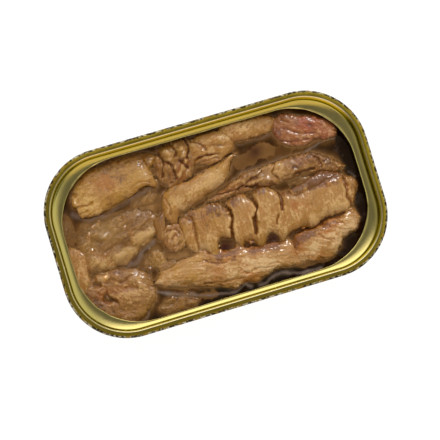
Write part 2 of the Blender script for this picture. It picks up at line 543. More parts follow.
# %% Fillets and flakes along the top
FISH |= {
    "fillet_top_middle": dict(
        left_side=[(-2.4, 20.4), (-2, 23.2), (0.5, 25.2), (4, 26.2), (8, 25.8), (11.2, 24),
            (12.8, 21)],
        right_side=[(-2.4, 20.4), (-1.6, 17.4), (1.5, 15.9), (5, 15.9), (9, 16.9), (11.7, 18.7),
            (12.8, 21)],
        rise=(1.2, 1.9, 2.0, 1.4), shoulder=3.0, fibres=(14, 2.4, 0.5, 0.1), lumps=0.3,
        skin_side=0.5, seed=17,
        splits=[([(-2, 18.2), (2, 19), (6, 18.2)], 0.35, 0.9),
            ([(-1, 24.6), (2, 22.4), (3, 20.4)], 0.4, 0.6), ([(4, 21.4), (9, 20.4)], 0.25, 0.3),
            ([(1, 17.2), (6, 17)], 0.3, 0.4)],
        ridges=[([(5, 23), (10, 22)], 1.2, 0.3)],
        spots=[(2, 22, 3, 0.1), (8, 23, 3, 0.3), (2, 20, 2, 0.4), (9, 18.6, 3, -0.1)],
        reds=[(3, 18, 3, 0.5)]),
    "fillet_top_edge": dict(
        left_side=[(7.5, 24.5), (9.6, 26.4), (14, 27.1), (19, 27.2), (24, 26.6), (27.6, 24.2)],
        right_side=[(7.5, 24.5), (9.4, 22.6), (12.5, 20.4), (17, 19.9), (21, 20), (25, 20.6),
            (27.6, 24.2)],
        rise=(1.8, 2.2, 2.0, 1.2), shoulder=3.0, fibres=(30, 2, 0.5, 0.12), flakes=(60, 5, 0.14),
        lumps=0.22, skin_side=0.5, seed=19,
        spots=[(15, 24, 4, 0.6), (22, 22, 3, 0), (20, 25.4, 3, 0.3)],
        reds=[(14, 24.4, 3, 0.3), (24, 22, 3, -0.3), (12, 22, 3, 0.4)]),
    "flakes_top": dict(
        left_side=[(-14.6, 18.4), (-14, 22), (-12.4, 25.2), (-9, 26.6), (-5, 26.8), (-1.5, 26),
            (0.5, 23.6), (1, 20.8)],
        right_side=[(-14.6, 18.4), (-14, 15.2), (-12.5, 12.6), (-9, 11.6), (-7.2, 12.6), (-5, 13),
            (-3, 14.6), (-1, 16.4), (0.6, 18.2), (1, 20.8)],
        rise=(0.7, 1.4, 1.7, 0.9), shoulder=2.7, fibres=(70, 1.6, 0.5, 0.14),
        flakes=(110, 3.6, 0.3), lumps=0.45, ragged=0.5, seed=23,
        splits=[([(-12.6, 25), (-10.8, 20.8), (-12.8, 16)], 0.4, 1.0),
            ([(-2.8, 26), (-1.6, 22.6), (-3.5, 19.8)], 0.45, 1.2),
            ([(0.8, 25), (0.4, 22)], 0.9, 1.5),
            ([(-7.6, 25.8), (-6.4, 23.4), (-6.8, 21)], 0.3, 0.6),
            ([(-10.4, 20.6), (-8.6, 18.6), (-8.8, 15.4)], 0.3, 0.8),
            ([(-8.4, 14.6), (-10.6, 13.4)], 0.4, 0.6), ([(-6.2, 19.4), (-4, 16.8)], 0.3, 0.7)],
        ridges=[([(-9.4, 23.2), (-8.8, 21.2)], 1.4, 0.7), ([(-4.4, 22.6), (-4.4, 20.8)], 1.2, 0.8),
            ([(-7.4, 14.8), (-5, 18), (-3.6, 19.8)], 0.8, 0.8),
            ([(-12, 19), (-9.5, 17.8)], 1.2, 0.4)],
        spots=[(-9, 22.2, 2.2, 0.9), (-4.4, 21.7, 1.8, 1.0), (-6.5, 24.4, 1.6, 0.6),
            (-7.5, 19, 1.2, 0.5), (-10, 16, 2.5, -0.3), (0.6, 23.4, 2, -1.3)],
        reds=[(-6.6, 15, 2.4, 1.3), (-4.6, 18.4, 1.6, 0.8), (-10.6, 17, 2, 0.3), (-9, 22, 3, -1.2),
            (-4.4, 21.7, 2, -1.0)]),
    "fillet_pink": dict(
        left_side=[(24.4, 21.2), (26.5, 23.6), (30, 24.8), (35, 22.8), (40, 21), (43.2, 19.2),
            (45, 16.6), (45.4, 15.2)],
        right_side=[(24.4, 21.2), (25.5, 17.6), (29, 14), (33, 12.7), (38, 13.3), (42, 13),
            (44.6, 13.8), (45.4, 15.2)],
        rise=(0.7, 1.2, 1.5, 1.6, 1.3), shoulder=3.2, lean=0.2, fibres=(-35, 1.2, 0.7, 0.1),
        lumps=0.32, ragged=0.35, seed=29,
        splits=[([(28, 20.6), (33, 17.2), (38.4, 15.6)], 0.4, 0.35),
            ([(27, 16.4), (32, 15), (36, 14.4)], 0.4, 0.4), ([(29, 23), (31, 21.6)], 0.4, 0.4)],
        spots=[(40.5, 16, 3.4, 0.8), (30, 22, 4, -0.4), (28, 18, 3, -0.5), (34, 19, 2.4, 0.3)],
        reds=[(38, 18.5, 3, 1.0), (33, 20, 3, 0.7), (27.4, 21, 2.5, 0.3), (29, 17, 3, -0.3),
            (41, 14.5, 2.5, 0.5)]),
}
print("outlines for", len(FISH), "pieces")

# %% Smaller pieces and the pieces on the left
FISH |= {
    "slice_round": dict(
        left_side=[(-18.9, -3.5), (-17.8, -0.4), (-14.6, 1.0), (-11.4, -0.6), (-10.4, -3.5)],
        right_side=[(-18.9, -3.5), (-17.8, -6.6), (-14.6, -8), (-11.5, -6.4), (-10.4, -3.5)],
        rise=(0.8, 1.2, 1.3, 1.1), shoulder=3.0, fibres=(50, 1.4, 0.45, 0.14), lumps=0.25,
        ragged=0.3, seed=31,
        splits=[([(-17.2, -3.2), (-16.2, -0.9), (-13.6, -0.6), (-12.2, -3)], 0.3, 0.3),
            ([(-13, -5.6), (-15.6, -6)], 0.3, 0.3), ([(-11.4, -1), (-11.2, -6)], 0.4, 0.8),
            ([(-15.4, -3.4), (-13.8, -2.6)], 0.35, 0.4)],
        spots=[(-14.2, -4.6, 1.6, 0.5), (-14.5, -1.8, 1.4, 0.2)],
        reds=[(-13.6, -2.4, 1.2, 0.6), (-12.4, -5, 2, -1.0)]),
    "flake_wedge": dict(
        left_side=[(-20.2, -2.6), (-19.8, 1.6), (-17.8, 4.6), (-15.2, 5.6)],
        right_side=[(-20.2, -2.6), (-18.6, -3.8), (-16.6, -1), (-15.6, 2.5), (-15.2, 5.6)],
        rise=(0.7, 1.2, 1.4, 1.0), shoulder=2.8, fibres=(62, 3, 0.5, 0.08), seed=37,
        spots=[(-18, 1, 3, 0.1)]),
    "chunk_lower_left": dict(
        left_side=[(-46.8, -15.5), (-46, -11.2), (-42.5, -7.9), (-38, -6.8), (-33, -7.4),
            (-28.2, -9.6), (-25.2, -13.2), (-24.6, -16.5)],
        right_side=[(-46.8, -15.5), (-45.2, -19.8), (-42.2, -23), (-38, -25), (-34, -25.5),
            (-30.2, -24.8), (-27.2, -22), (-25.2, -19), (-24.6, -16.5)],
        rise=(0.5, 0.9, 1.1, 1.2, 1.0), shoulder=3.2, lean=-0.35, fibres=(-30, 2, 0.5, 0.1),
        lumps=0.4, ragged=0.35, seed=41,
        splits=[([(-40.4, -15.2), (-39.4, -16)], 1.0, 1.3),
            ([(-38.6, -16.4), (-37.4, -18.4)], 0.6, 0.6),
            ([(-42.6, -10.4), (-41.4, -11)], 0.8, 0.8), ([(-33, -14), (-30.6, -15)], 0.8, 0.5),
            ([(-35, -12), (-31, -11)], 0.4, 0.4)],
        ridges=[([(-41, -9), (-38.4, -9.4)], 0.9, 0.5), ([(-36.6, -9.8), (-35.6, -10)], 0.7, 0.5)],
        spots=[(-29, -18, 4, 0.5), (-39, -9, 1.8, 0.9), (-40, -15.6, 3, -1.0), (-36, -21, 5, 0.1),
            (-43.5, -16, 2.4, -0.6), (-31, -11.5, 2, 0.2)],
        reds=[(-39, -16, 4, 1.0), (-34, -13, 4, 0.6), (-29, -20, 4, -0.5), (-39, -9, 2, -1),
            (-36, -22, 5, -0.2)]),
    "piece_left_middle": dict(
        left_side=[(-44.6, 0.4), (-44, 5), (-40.6, 8), (-34, 9.6), (-28, 9.6), (-22, 8.4),
            (-18.4, 6.4), (-17.4, 4.4)],
        right_side=[(-44.6, 0.4), (-44, -4), (-40.5, -6.8), (-35, -7.2), (-31, -7), (-28.4, -5.4),
            (-25.5, -3.4), (-22, -2.2), (-20, -0.6), (-17.4, 4.4)],
        rise=(0.1, 0.2, 0.35, 0.6, 0.5), shoulder=2.8, lean=-0.8, fibres=(25, 2.2, 0.5, 0.1),
        flakes=(75, 6, 0.14), lumps=0.35, ragged=0.45, seed=43,
        splits=[([(-37, -1.6), (-33, 0), (-30, -1)], 0.5, 0.4),
            ([(-26, 2.6), (-22, 1.4)], 0.5, 0.3)],
        ridges=[([(-33.4, -4), (-30, -3.4), (-27.6, -3.8)], 1.4, 0.6),
            ([(-26.4, -1), (-22, 0.8)], 1.5, 0.6), ([(-38.4, 4.4), (-36, 3.2)], 1.2, 0.35),
            ([(-41, -3), (-39, -5)], 1.4, 0.35), ([(-31, 1.4), (-26, 2.6), (-22, 4.4)], 0.8, 0.3)],
        spots=[(-30.4, -3.4, 2.6, 1.0), (-24.6, -0.4, 2.6, 0.9), (-36, -4, 4, 0.3),
            (-34, 4.5, 3.4, 0.5), (-22, 6, 4, -0.5), (-41, 1, 2.4, 0.4), (-37, 0, 2, -0.7),
            (-29, 0.4, 1.6, -0.7), (-27, 6.6, 4, -0.3)],
        reds=[(-31, -4, 3, 0.3), (-25, -1, 3, 0.2), (-34, 4.6, 5, -1.6), (-40, 3, 4, -0.9),
            (-26, 5, 4, 0.3), (-38, -1, 3, 0.8), (-37, -5, 3, 0.3)]),
    "piece_left_edge": dict(
        left_side=[(-46.4, -13), (-48.8, -10), (-49.4, -4), (-49, 0.8), (-46.6, 3.4)],
        right_side=[(-46.4, -13), (-43.6, -9.5), (-42.8, -5), (-43, 0), (-46.6, 3.4)],
        rise=(0.3, 0.7, 0.8, 0.6), shoulder=3, fibres=(85, 3, 0.5, 0.08), seed=47,
        spots=[(-46, -4, 4, 0.6)]),
    "piece_lower_edge": dict(
        left_side=[(-25.4, -23.4), (-22.4, -20.9), (-18, -20.7), (-14, -22.2), (-12, -24.2)],
        right_side=[(-25.4, -23.4), (-23.4, -25.8), (-19, -26.4), (-15, -26.1), (-12, -24.2)],
        rise=(0.0, 0.2, 0.2, 0.0), shoulder=2.6, fibres=(-15, 1.6, 0.5, 0.14), lumps=0.3,
        ragged=0.4, seed=53,
        ridges=[([(-22.6, -21.8), (-20, -22)], 0.5, 0.4),
            ([(-15.8, -24.6), (-15, -24.6)], 0.7, 0.4)],
        spots=[(-20, -24, 2, 0.4)]),
}
print("outlines for", len(FISH), "pieces")

# %% [markdown]
# ## Bits sunk in the broth
#
# Between the big pieces lie smaller bits, just under the surface.  They are
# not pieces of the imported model: the broth hides most of each.  A bit is the
# same kind of surface, with an oval outline worked out from its middle, its
# two half sizes and its turn.

# %% Bits sunk in the broth
BITS = [
    # x, y, half length, half width, turn, rise above the broth
    (-25.6, -8.6, 4.2, 2.2, 35, -0.35), (-21.4, -8.2, 3.0, 3.0, 80, -0.25),
    (-19.0, -11.2, 3.6, 1.7, 5, -0.1), (-28.6, -12.2, 3.4, 2.0, -40, -0.5),
    (-46.0, 8.6, 2.2, 5.0, 0, -0.5), (-38.0, 9.0, 4.0, 1.6, 10, -0.45),
    (-20.0, 10.6, 5.0, 2.2, 8, -0.2), (-16.6, 14.2, 3.0, 1.6, 40, -0.3),
    (14.6, 14.0, 4.4, 2.2, 18, -1.4), (20.6, 15.4, 4.0, 2.0, -6, -1.1),
    (25.4, 12.8, 4.6, 1.8, 8, -1.7), (-7.6, 1.9, 3.0, 1.2, 5, -0.3),
    (-17.6, -23.2, 4.0, 1.2, -8, -0.3), (-9.4, -23.6, 3.4, 1.0, -12, -0.8),
    (29.0, 2.6, 4.0, 1.6, 0, -0.2)]


def oval_sides(x, y, half_length, half_width, turn, count=7):
    """Left-hand and right-hand outline of an oval, from its left end to its right end."""
    a = math.radians(turn)
    around = np.linspace(math.pi, 0, count)
    along, over = half_length * np.cos(around), half_width * np.sin(around)
    return [[(x + p * math.cos(a) - side * q * math.sin(a),
              y + p * math.sin(a) + side * q * math.cos(a)) for p, q in zip(along, over)]
            for side in (1, -1)]


fish_objects = {}
bit_objects = []
for number, (x, y, half_length, half_width, turn, above) in enumerate(BITS):
    left_side, right_side = oval_sides(x, y, half_length, half_width, turn)
    bit_objects.append(fillet(
        f"sunk_bit_{number + 1}", left_side, right_side, (above,) * 3, shoulder=2.4,
        fibres=(turn + 30, 1.8, 0.5, 0.12), ragged=0.6, lumps=0.3, seed=300 + 7 * number))
for node, form in FISH.items():
    fish_objects[node] = fillet(node + "_flesh", **form)
print("bits", len(bit_objects), "fish pieces", len(fish_objects), "faces",
      sum(len(piece.data.polygons) for piece in fish_objects.values()))

# %% [markdown]
# ## Where the fish stands above the broth
#
# The broth has to know the fish under it: it is a thin clear film over a
# piece just below the surface, and a dark brown pool between two pieces.  So
# the highest point of all the fish is noted on a fine map of the tin.

# %% Height map of the fish
MAP_STEP = 0.3
map_x = np.arange(-52, 52 + MAP_STEP, MAP_STEP)
map_y = np.arange(-30, 30 + MAP_STEP, MAP_STEP)
grid_x, grid_y = np.meshgrid(map_x, map_y, indexing="ij")
fish_top = np.full(grid_x.shape, FOOT)
for cloud in heap_points:
    column = np.rint((cloud[:, 0] - map_x[0]) / MAP_STEP).astype(int)
    row = np.rint((cloud[:, 1] - map_y[0]) / MAP_STEP).astype(int)
    np.maximum.at(fish_top, (column, row), cloud[:, 2])


def neighbours(field, reduce):
    """Apply a reduction over each cell of a map and its eight neighbours."""
    padded = np.pad(field, 1, mode="edge")
    columns, rows = field.shape
    shifts = [padded[i:i + columns, j:j + rows] for i in range(3) for j in range(3)]
    return reduce(np.stack(shifts), axis=0)


def distance_from(cells, steps=14):
    """Distance on the map from the nearest marked cell, by passing it on to neighbours."""
    reach = np.where(cells, 0.0, 99.0)
    for _ in range(steps):
        padded = np.pad(reach, 1, mode="edge")
        columns, rows = reach.shape
        for i in range(3):
            for j in range(3):
                run = MAP_STEP * math.hypot(i - 1, j - 1)
                reach = np.minimum(reach, padded[i:i + columns, j:j + rows] + run)
    return reach


def read_map(field, x, y):
    """Value of a map at points between its cells, blended from the four round each."""
    column = np.clip((x - map_x[0]) / MAP_STEP, 0, len(map_x) - 1.001)
    row = np.clip((y - map_y[0]) / MAP_STEP, 0, len(map_y) - 1.001)
    i, j = column.astype(int), row.astype(int)
    s, t = column - i, row - j
    low = field[i, j] * (1 - s) + field[i + 1, j] * s
    high = field[i, j + 1] * (1 - s) + field[i + 1, j + 1] * s
    return low * (1 - t) + high * t


fish_top = np.maximum(fish_top, neighbours(neighbours(fish_top, np.max), np.min))
print("map", fish_top.shape, "covered %.0f %%" % (100 * (fish_top > LEVEL).mean()))

# %% [markdown]
# ## Flesh sunk in the broth
#
# Between the big pieces the broth isn't empty: bits of flesh lie a
# millimetre or two under its surface and make it a lighter, murky brown.
# They are only guessed shapes, so each is a soft ellipse with a depth.  The
# list also says where the bottom of a split is raw and red.

# %% Sunk flesh and reddened places
SUNK = [
    # x, y, half length, half width, turn, depth of its top
    (-22, 8, 12, 5, 10, 0.5), (-40, 8, 6, 4, 20, 0.9), (-45.5, 10, 3.4, 8, 0, 1.6),
    (-46, 6, 3, 4, 0, 1.0), (-15, -9, 9, 3, 0, 0.35), (-27, -8, 6, 3.4, 30, 0.7),
    (-21, -5, 4, 5, 20, 0.9), (-33, -8, 8, 2.6, 0, 0.9), (14, 14.6, 9, 4.6, 15, 2.3),
    (22, 13.6, 9, 4, -10, 2.7), (8, 13, 4, 4, 40, 2.2), (33, 13, 6, 2, 0, 2.6),
    (-20, 13.6, 8, 2, 8, 0.9), (-6, 14, 6, 2, 10, 0.9), (-24, 25.2, 14, 2.4, 0, 1.2),
    (0, 17, 6, 1.6, 0, 0.9), (0, -11, 5, 2.6, 0, 2.3), (8, -12.6, 6, 2, 0, 2.2),
    (16, -13.4, 5, 2, 0, 2.2), (28, -12.6, 13, 2.2, 3, 2.6), (-18, -24, 8, 3, 0, 1.5),
    (22, 20, 7, 3, 0, 1.3), (40, 11, 5, 2, -20, 4.0), (-4, -24.8, 12, 2, 0, 4.2),
    (-46, -14, 3, 4, 0, 1.5), (28, 2.5, 4, 1.5, 0, 0.8), (3, 5, 8, 1.6, 15, 1.0),
    (-17, 2.4, 3, 5, 0, 0.9)]
RAW = [
    (0, -11, 3, 1.0), (8, -12.4, 3, 0.8), (15, -12.4, 3, 1.0), (28, -12.8, 9, 0.9),
    (18, 15.6, 2, 0.8), (4.5, -3, 2, 0.5), (12.6, -3, 2, 0.6), (-28, -9, 5, 0.4)]

sunk_top = np.maximum(fish_top, FOOT + 3.0)
place = np.stack([grid_x, grid_y, 0 * grid_x], -1)
rough_bed = 0.7 * fractal(place, 4.0, 3, 201) + 0.25 * fractal(place, 1.2, 2, 202)
for x, y, half_length, half_width, turn, under in SUNK:
    a = math.radians(turn)
    along = ((grid_x - x) * math.cos(a) + (grid_y - y) * math.sin(a)) / half_length
    over = ((grid_y - y) * math.cos(a) - (grid_x - x) * math.sin(a)) / half_width
    dome = LEVEL - under - 3.2 * (along ** 2 + over ** 2) ** 1.3 + 0.5 * min(under, 1.5) * rough_bed
    sunk_top = np.maximum(sunk_top, np.minimum(dome, LEVEL - 0.15))
beside = distance_from(fish_top > LEVEL - 0.3)
open_broth = (smooth_step(35, 39, grid_x) * smooth_step(-13, -16, grid_y)
              + smooth_step(43, 45, grid_x)
              + smooth_step(-21.5, -23.5, grid_y) * smooth_step(-16, -10, grid_x))
flank = LEVEL - 0.45 - 1.5 * beside - 4.5 * np.clip(open_broth, 0, 1) + 0.35 * rough_bed
sunk_top = np.maximum(sunk_top, np.minimum(flank, LEVEL - 0.2))
raw = np.zeros_like(sunk_top)
for x, y, radius, strength in RAW:
    raw = np.maximum(raw, strength * np.exp(-((grid_x - x) ** 2 + (grid_y - y) ** 2) / radius ** 2))
print("sunk flesh within 2 mm of the surface: %.0f %%" % (100 * (sunk_top > LEVEL - 2).mean()))

# %% [markdown]
# ## The broth
#
# Real broth is level between the pieces and climbs a little where it meets
# them.  That small slope is what catches the light, so it has to be in the
# mesh.  The surface is a grid over the inside of the cup: each ray from the
# middle to the wall is one column.  A skirt closes it down to the cup's
# floor, so it is a solid body and not a loose sheet.

# %% Outline of the tin at any depth
def rounded_rectangle(half_length, half_width, corner, count):
    """Points, outward normals and run at even steps round a rounded rectangle, from the +X side."""
    a, b = half_length - corner, half_width - corner
    quarter = math.pi * corner / 2
    ends = np.cumsum([0, b, quarter, 2 * a, quarter, 2 * b, quarter, 2 * a, quarter, b])
    s = np.linspace(0, ends[-1], count, endpoint=False)
    part = np.searchsorted(ends, s, side="right") - 1
    t = s - ends[part]
    turn = np.array([0, 0, 1, 1, 2, 2, 3, 3, 4])[part] * math.pi / 2
    bend = part % 2 == 1
    angle = turn + np.where(bend, t / corner, 0)
    normal = np.stack([np.cos(angle), np.sin(angle)], -1)
    centre = np.array([[a, 0], [a, b], [a, b], [-a, b], [-a, b], [-a, -b], [-a, -b], [a, -b],
                       [a, -b]])[part]
    along = np.stack([-np.sin(turn), np.cos(turn)], -1)
    straight = centre + normal * corner + along * t[:, None]
    return np.where(bend[:, None], centre + normal * corner, straight), normal, s


CUP_INSET = 1.66
RAYS = 660
RINGS = 140
wall_points, wall_normals, _ = rounded_rectangle(
    HALF_LENGTH - CUP_INSET, HALF_WIDTH - CUP_INSET, CORNER - CUP_INSET, RAYS)
print("broth rays", RAYS, "rings", RINGS)

# %% [markdown]
# ## Film and grease
#
# FILM says where the broth is a skin that follows the piece under it, as on
# the pieces at the left.  STREAKS says where pale grease has gathered along
# the edge of the broth.  Both are guides, and noise makes their edges uneven.

# %% Film and streaks of grease
FILM = [
    # x, y, radius, strength
    (-34, 2, 12, 1.0), (-24, 5, 8, 1.0), (-44, -2, 5, 0.9), (-25, 24, 9, 0.8), (-16, -8, 7, 0.8),
    (-30, -9, 6, 0.7), (-42, -17, 5, 0.7), (-19, -23, 6, 0.9), (27, 17, 5, 0.6), (-18, 12, 8, 0.5),
    (37, 1.6, 4, 0.5), (-38, -12, 5, 0.5)]
STREAKS = [
    # points along it, half width, strength
    ([(-32, -7.6), (-28.4, -6.8), (-25.4, -4.8), (-22, -2.2)], 1.3, 0.9),
    ([(-31.5, -25.6), (-28.4, -22.6), (-25.8, -18.4)], 1.0, 0.8), ([(-24.6, -18.4), (-21, -19.9),
    (-16.5, -21.6), (-11.8, -22.9), (-6, -24.5), (-0.4, -25.4)], 1.2, 0.9),
    ([(-0.4, -25.3), (1.6, -24.6), (2.9, -23.9), (4.4, -25.2)], 0.8, 0.9), ([(7.4, -25.5),
    (11, -24.4), (15, -23.8), (18, -24.3), (21, -25.2), (27, -26)], 1.1, 0.8), ([(-42.8, 12.4),
    (-39, 9.5), (-34, 9.5), (-28, 10.9), (-22, 12.6), (-17, 14)], 1.2, 0.7),
    ([(-37, 25.8), (-28, 26.7), (-20, 26.8), (-15, 26)], 0.8, 0.7),
    ([(-48, -12), (-46.4, -13.4), (-44.8, -12.4)], 1.1, 0.8),
    ([(-44.4, -17), (-43, -20.4)], 0.7, 0.5), ([(33.6, 11.4), (38, 12.3), (43.4, 12.9)], 0.7, 0.8),
    ([(13, 19.4), (18, 18.9), (24, 19.4)], 0.6, 0.6), ([(44.6, 1.2), (46.4, -1.0)], 0.6, 0.7)]
print("film patches", len(FILM), "streaks", len(STREAKS))

# %% Height of the broth on the map
film_mask = np.zeros_like(fish_top)
for x, y, radius, strength in FILM:
    film_mask = np.maximum(film_mask, strength * np.exp(
        -(((grid_x - x) ** 2 + (grid_y - y) ** 2) / radius ** 2) ** 2))
standing = distance_from(fish_top > LEVEL + 0.25)
away_x, away_y = np.gradient(box_blur(standing, 1), MAP_STEP)
southward = smooth_step(-0.2, 0.6, -0.33 * away_x - 0.94 * away_y)
climb = (0.25 + 0.5 * southward + 0.15 * fractal(place, 5.0, 2, 73)) * np.exp(-standing / 1.1)
streak = np.zeros_like(fish_top)
wander = 0.5 * fractal(place, 3.0, 2, 74)
for path, wide, strength in STREAKS:
    near = distance_to_path(grid_x + wander, grid_y - wander, path)
    swell = np.clip(0.9 + 0.5 * fractal(place, 4.0, 2, 75), 0.3, 1.6)
    streak = np.maximum(streak, strength * np.exp(-(near / (0.72 * wide * swell)) ** 2))
climb = climb + 0.3 * streak
film = box_blur(np.maximum(fish_top, LEVEL - 1.5), 3) + 0.12
film = np.maximum(film, box_blur(np.maximum(fish_top, LEVEL - 1.0), 8) + 0.05)
broth_map = (LEVEL - 0.1 + climb + 0.06 * fractal(place, 7.0, 2, 71)
             + 0.025 * fractal(place, 2.0, 2, 72))
broth_map = np.maximum(broth_map, film * film_mask + (LEVEL - 2) * (1 - film_mask))
broth_map = box_blur(np.minimum(broth_map, LEVEL + 1.4), 1)
print("broth from %.1f to %.1f mm" % (broth_map.min(), broth_map.max()))

# %% Broth surface
share = (np.arange(1, RINGS + 1) / RINGS) ** 0.85
surface = wall_points[None, :, :] * share[:, None, None]
sx, sy = surface[..., 0], surface[..., 1]
to_wall = (1 - share)[:, None] * np.hypot(sx, sy)
broth_z = read_map(broth_map, sx, sy) + 0.45 * np.exp(-to_wall / 0.9)
depth = np.clip(broth_z - read_map(sunk_top, sx, sy), 0, 8)
cover = smooth_step(0.0, 1.0, broth_z - read_map(fish_top, sx, sy))
redness = read_map(raw, sx, sy)
far_wall = smooth_step(0.6, 0.95, wall_normals[:, 1])[None, :]
wall_fat = np.exp(-((to_wall - 2.3) / 0.5) ** 2) * far_wall
fatty = np.maximum(read_map(streak, sx, sy), 0.6 * wall_fat)
skirt = np.stack([np.concatenate([wall_points * (1 - 0.002 * k), np.full((RAYS, 1), z)], -1)
                  for k, z in enumerate((LEVEL - 2.0, 2.0))])
points = np.concatenate([np.concatenate([surface, broth_z[..., None]], -1), skirt])
cloud = np.concatenate([points.reshape(-1, 3), [[0.0, 0.0, broth_z[0].mean()]], [[0.0, 0.0, 2.0]]])
quads, fans = ring_faces(points.shape[0], RAYS)
fields = {field: np.append(values.ravel(), np.full(2 * RAYS + 2, below))
          for field, values, below in (("depth", depth, 8.0), ("red", redness, 0.0),
                                       ("cover", cover, 1.0), ("fat", fatty, 0.0))}
fields["depth"][-2] = 0.0
broth = mesh_object("broth_surface", cloud, quads, fans, fields)
print("broth", len(broth.data.polygons), "faces")

# %% [markdown]
# ## Drops of oil
#
# A few long drops of oil float on the film over the left-hand pieces.  Each
# is a low cone on an oval: f = height (1 - sqrt((u/a)^2 + (v/b)^2)).  A cone
# has one slope along each line from its tip, so a whole line mirrors the
# small lamp and shows as a small white glint.  The height is the one that
# gives the slope midway between the lamp and the eye.

# %% Drops of oil
DROPS = [
    # x, y, half length, half width, turn
    (-40.1, 4.6, 1.5, 0.75, 82), (-40.4, 0.0, 1.1, 0.7, 100), (-38.0, 7.2, 0.7, 0.6, 30),
    (-36.0, 8.2, 0.7, 0.6, 30), (-24.6, -11.0, 1.3, 0.7, 96), (-23.2, -4.4, 0.7, 0.6, 45),
    (-35.3, -9.7, 0.9, 0.6, 120), (-39.0, -9.4, 0.9, 0.6, 60), (-40.0, -15.2, 0.6, 0.5, 0),
    (-28.6, 4.4, 0.6, 0.5, 20), (-20.6, -21.4, 0.6, 0.5, 40)]
SMALL_LAMP = np.array([340.0, 400.0, 520.0])
EYE = np.array([-67.0, -33.0, 637.0])
DROP_SIDES = 28
DROP_RINGS = 9
drop_share, drop_angle = np.meshgrid(
    np.linspace(0.12, 1, DROP_RINGS), np.linspace(0, 2 * math.pi, DROP_SIDES, endpoint=False),
    indexing="ij")
drop_points, drop_quads, drop_fans = [], [], []
for x, y, half_length, half_width, turn in DROPS:
    a = math.radians(turn)
    along = half_length * drop_share * np.cos(drop_angle)
    over = half_width * drop_share * np.sin(drop_angle)
    here = np.array([x, y, LEVEL])
    midway = sum((far - here) / np.linalg.norm(far - here) for far in (SMALL_LAMP, EYE))
    lean_x, lean_y = midway[:2] / midway[2]
    tall = math.hypot(half_length * (lean_x * math.cos(a) + lean_y * math.sin(a)),
                      half_width * (lean_y * math.cos(a) - lean_x * math.sin(a)))
    lens = tall * (1 - drop_share)
    px = x + along * math.cos(a) - over * math.sin(a)
    py = y + along * math.sin(a) + over * math.cos(a)
    base = float(np.maximum(read_map(broth_map, np.array([x]), np.array([y])),
                            read_map(fish_top, np.array([x]), np.array([y])))[0])
    ring = np.stack([px, py, base + lens], -1)
    lip = np.stack([px[-1], py[-1], np.full(DROP_SIDES, base - 0.5)], -1)[None]
    tube = np.concatenate([ring, lip])
    quads, fans = ring_faces(tube.shape[0], DROP_SIDES)
    offset = sum(len(p) for p in drop_points)
    drop_points.append(np.concatenate([tube.reshape(-1, 3), [[x, y, base + tall * 0.9],
                                                             [x, y, base - 0.5]]]))
    drop_quads.append(quads + offset)
    drop_fans.append(fans + offset)
drops = mesh_object("oil_drops", np.concatenate(drop_points), np.concatenate(drop_quads),
                    np.concatenate(drop_fans))
print("drops", len(DROPS))

# %% [markdown]
# ## The torn lid
#
# What is left of the lid is one sheet: it hooks under the cup's flange, goes
# over the top of the seam, down the chuck wall and ends in a narrow ledge at
# the tear.  The section is carried round the tin's outline.  The last part of
# it is stretched so that it ends on the tear, which is not quite even and has
# a thin raised burr.

# %% Section of the lid
GAUGE = 0.3         # thickness of the sheet as drawn here
SHOULDER = 0.45     # radius of the outer bend at the top of the seam
SEAM_IN = 2.1
WALL_FOOT = 2.45
LEDGE_TOP = RIM_TOP - 3.6
LEDGE_CURVE = 0.8
TEAR_END = HALF_LENGTH - 4.8
TEAR_SIDE = HALF_WIDTH - 3.95
TEAR_CORNER = 20.5


def arc(centre_depth, centre_height, radius, start, stop, count):
    """Points (depth, height) on an arc; angles in degrees, 0 towards the tin's middle."""
    angle = np.radians(np.linspace(start, stop, count))
    return np.stack([centre_depth + radius * np.cos(angle),
                     centre_height + radius * np.sin(angle)], -1)


top_skin = np.concatenate([
    arc(0.5, 21.45, 0.5, 0, -180, 9),
    [[0.0, 22.2]],
    arc(SHOULDER, RIM_TOP - 0.06 - SHOULDER, SHOULDER, 180, 90, 10),
    [[1.1, RIM_TOP - 0.02]],
    arc(SEAM_IN - 0.35, RIM_TOP - 0.35, 0.35, 90, 0, 9),
    np.linspace([SEAM_IN + 0.05, RIM_TOP - 0.8], [WALL_FOOT, LEDGE_TOP + LEDGE_CURVE], 6),
    arc(WALL_FOOT + LEDGE_CURVE, LEDGE_TOP + LEDGE_CURVE, LEDGE_CURVE, 180, 250, 9),
])
print("section of", len(top_skin), "points")

# %% Carry the section round the tin
STATIONS = 720
seam_points, seam_normals, seam_run = rounded_rectangle(HALF_LENGTH, HALF_WIDTH, CORNER, STATIONS)


def inside_tear(depth_in):
    """How far points at a depth lie outside the tear's rounded rectangle (negative inside)."""
    p = np.abs(seam_points - seam_normals * depth_in[:, None])
    q = p - np.array([TEAR_END - TEAR_CORNER, TEAR_SIDE - TEAR_CORNER])
    outside = np.hypot(np.maximum(q[:, 0], 0), np.maximum(q[:, 1], 0))
    return outside + np.minimum(q.max(1), 0) - TEAR_CORNER


low, high = np.full(STATIONS, 2.6), np.full(STATIONS, 9.0)
for _ in range(24):
    centre = (low + high) / 2
    out = inside_tear(centre) > 0
    low = np.where(out, centre, low)
    high = np.where(out, high, centre)
ring = np.stack([np.cos(2 * math.pi * seam_run / seam_run[-1]),
                 np.sin(2 * math.pi * seam_run / seam_run[-1]), seam_run * 0], -1)
wobble = 0.10 * fractal(ring * 12, 1.0, 3, 91)
tear_depth = (low + high) / 2 + wobble
ledge_start = top_skin[-1, 0]
ledge_high = top_skin[-1, 1]

